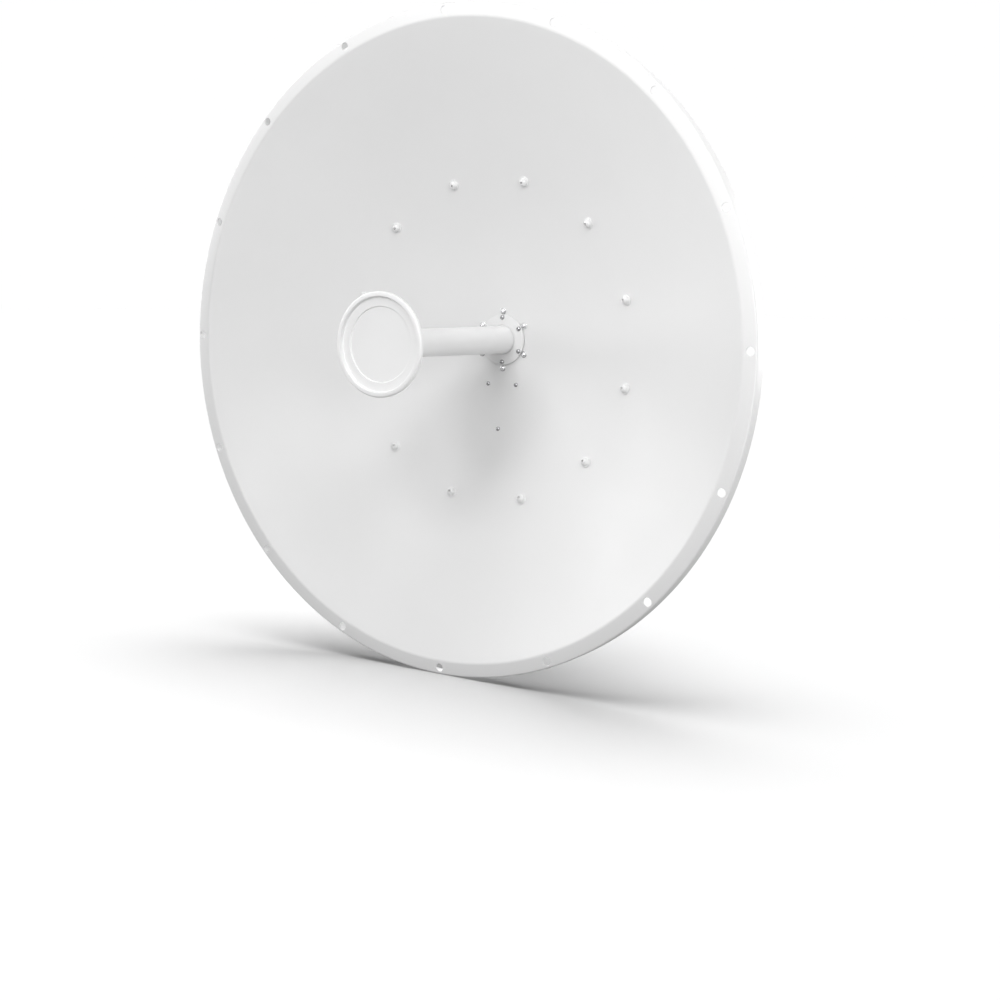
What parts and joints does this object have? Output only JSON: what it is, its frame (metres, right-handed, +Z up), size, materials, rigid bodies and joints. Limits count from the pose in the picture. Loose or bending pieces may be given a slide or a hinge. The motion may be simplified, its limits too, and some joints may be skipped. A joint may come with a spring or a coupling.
{
  "type": "parabolic dish antenna",
  "caption": "Round parabolic dish antenna with a feed tube and disc cap on its axis, and a rear ring, elevation frame and mast clamp.",
  "frame": {"origin": "on the flat floor of the mast saddle, on the dish's axis", "axes": "+Y out of the mast saddle's floor towards the mast, +Z up, so the dish looks along -Y"},
  "size_m": [1.05, 0.614, 1.05],
  "materials": {
    "dish_paint": "satin white powder coat",
    "feed_plastic": "satin white moulding",
    "bracket_paint": "satin light grey powder coat",
    "aluminium": "machined",
    "zinc": "zinc plated"
  },
  "bodies": {
    "root": {"reflector": "dish_paint", "feed_flange": "feed_plastic", "feed_tube": "feed_plastic", "feed_cone": "feed_plastic", "feed_cap": "feed_plastic", "radio_bracket": "bracket_paint", "back_ring": "bracket_paint", "frame_channel_left": "bracket_paint", "frame_channel_right": "bracket_paint", "elevation_cheek_left": "bracket_paint", "elevation_cheek_right": "bracket_paint", "mast_bracket": "bracket_paint", "mast_saddle": "bracket_paint", "jaw_upper": "bracket_paint", "jaw_lower": "bracket_paint", "rear_hub": "aluminium", "waveguide_block": "aluminium", "rf_connector_left": "zinc", "rf_connector_right": "zinc", "radio_spacer_left": "zinc", "radio_spacer_right": "zinc", "radio_spacer_bottom": "zinc", "pivot_bolt": "zinc", "lock_bolt_left": "zinc", "lock_bolt_right": "zinc", "rod_trunnion": "zinc", "elevation_rod": "zinc", "clamp_stud_upper_left": "zinc", "clamp_stud_upper_right": "zinc", "clamp_stud_lower_left": "zinc", "clamp_stud_lower_right": "zinc"}
  },
  "joints": []
}
